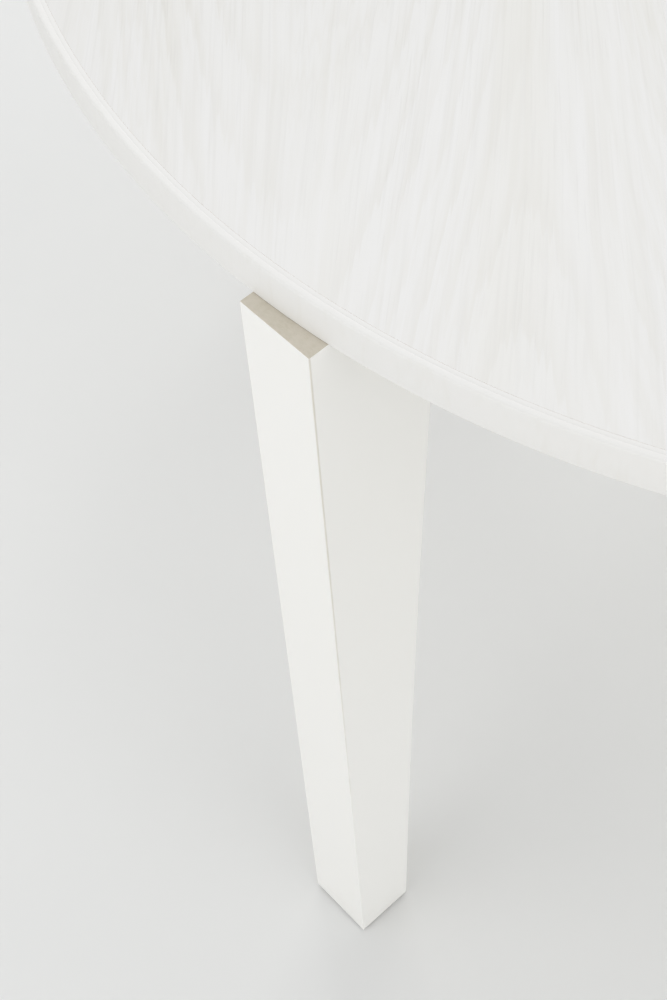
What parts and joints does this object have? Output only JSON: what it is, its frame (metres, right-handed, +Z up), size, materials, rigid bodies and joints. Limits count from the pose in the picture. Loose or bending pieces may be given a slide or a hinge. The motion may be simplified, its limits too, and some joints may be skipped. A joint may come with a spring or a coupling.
{
  "type": "gateleg table",
  "caption": "Round dining table with a white lacquered edge and wedge legs; a half-round leaf folds over onto the fixed half, and swinging gate legs hold it up when open.",
  "frame": {"origin": "on the floor, under the centre of the round top", "axes": "+Z up; +Y along the grain of the top and along the seam between its halves; the fixed half is at -X and the folding leaf at +X"},
  "size_m": [1.1, 1.1, 0.753],
  "materials": {
    "top_foil": "white-washed oak grain, satin",
    "edge_lacquer": "white lacquer, satin, softly rounded arris",
    "leg_lacquer": "white lacquer, satin",
    "frame_lacquer": "white paint, matt",
    "timber": "bare softwood",
    "steel": "zinc plated",
    "brass": "satin brass",
    "glide": "dark plastic"
  },
  "bodies": {
    "base": {"fixed_top_panel": "top_foil", "fixed_top_lipping": "edge_lacquer", "hinge_left_fixed_plate": "brass", "hinge_left_pin": "brass", "hinge_left_fixed_screw_1": "brass", "hinge_left_fixed_screw_2": "brass", "fixed_leg_left": "leg_lacquer", "fixed_glide_left": "glide", "leg_bolt_left_lower": "steel", "leg_bolt_left_upper": "steel", "side_rail_left": "frame_lacquer", "corner_block_front_left": "timber", "corner_block_rear_left": "timber", "gate_pin_left": "steel", "hinge_right_fixed_plate": "brass", "hinge_right_pin": "brass", "hinge_right_fixed_screw_1": "brass", "hinge_right_fixed_screw_2": "brass", "fixed_leg_right": "leg_lacquer", "fixed_glide_right": "glide", "leg_bolt_right_lower": "steel", "leg_bolt_right_upper": "steel", "side_rail_right": "frame_lacquer", "corner_block_front_right": "timber", "corner_block_rear_right": "timber", "gate_pin_right": "steel", "front_rail": "frame_lacquer", "rear_rail": "frame_lacquer", "pivot_bracket": "steel", "bracket_screw_1": "steel", "top_button_1": "timber", "button_screw_1": "steel", "bracket_screw_2": "steel", "top_button_2": "timber", "button_screw_2": "steel", "bracket_screw_3": "steel", "top_button_3": "timber", "button_screw_3": "steel", "bracket_screw_4": "steel", "top_button_4": "timber", "button_screw_4": "steel"},
    "leaf": {"leaf_panel": "top_foil", "leaf_lipping": "edge_lacquer", "hinge_left_leaf_plate": "brass", "hinge_left_leaf_screw_1": "brass", "hinge_left_leaf_screw_2": "brass", "gate_stop_left": "timber", "hinge_right_leaf_plate": "brass", "hinge_right_leaf_screw_1": "brass", "hinge_right_leaf_screw_2": "brass", "gate_stop_right": "timber"},
    "gate_left": {"gate_rail_left": "leg_lacquer", "gate_leg_left": "leg_lacquer", "gate_glide_left": "glide"},
    "gate_right": {"gate_rail_right": "leg_lacquer", "gate_leg_right": "leg_lacquer", "gate_glide_right": "glide"}
  },
  "joints": [
    {"name": "leaf_fold", "type": "hinge", "parent": "base", "child": "leaf", "pos_m": [0, 0, 0.7505], "axis": [0, -1, 0], "range_deg": [0, 180]},
    {"name": "gate_left_swing", "type": "hinge", "parent": "base", "child": "gate_left", "pos_m": [-0.035, -0.02, 0.685], "axis": [0, 0, -1], "range_deg": [0, 45]},
    {"name": "gate_right_swing", "type": "hinge", "parent": "base", "child": "gate_right", "pos_m": [-0.035, 0.02, 0.685], "axis": [0, 0, 1], "range_deg": [0, 45]}
  ]
}
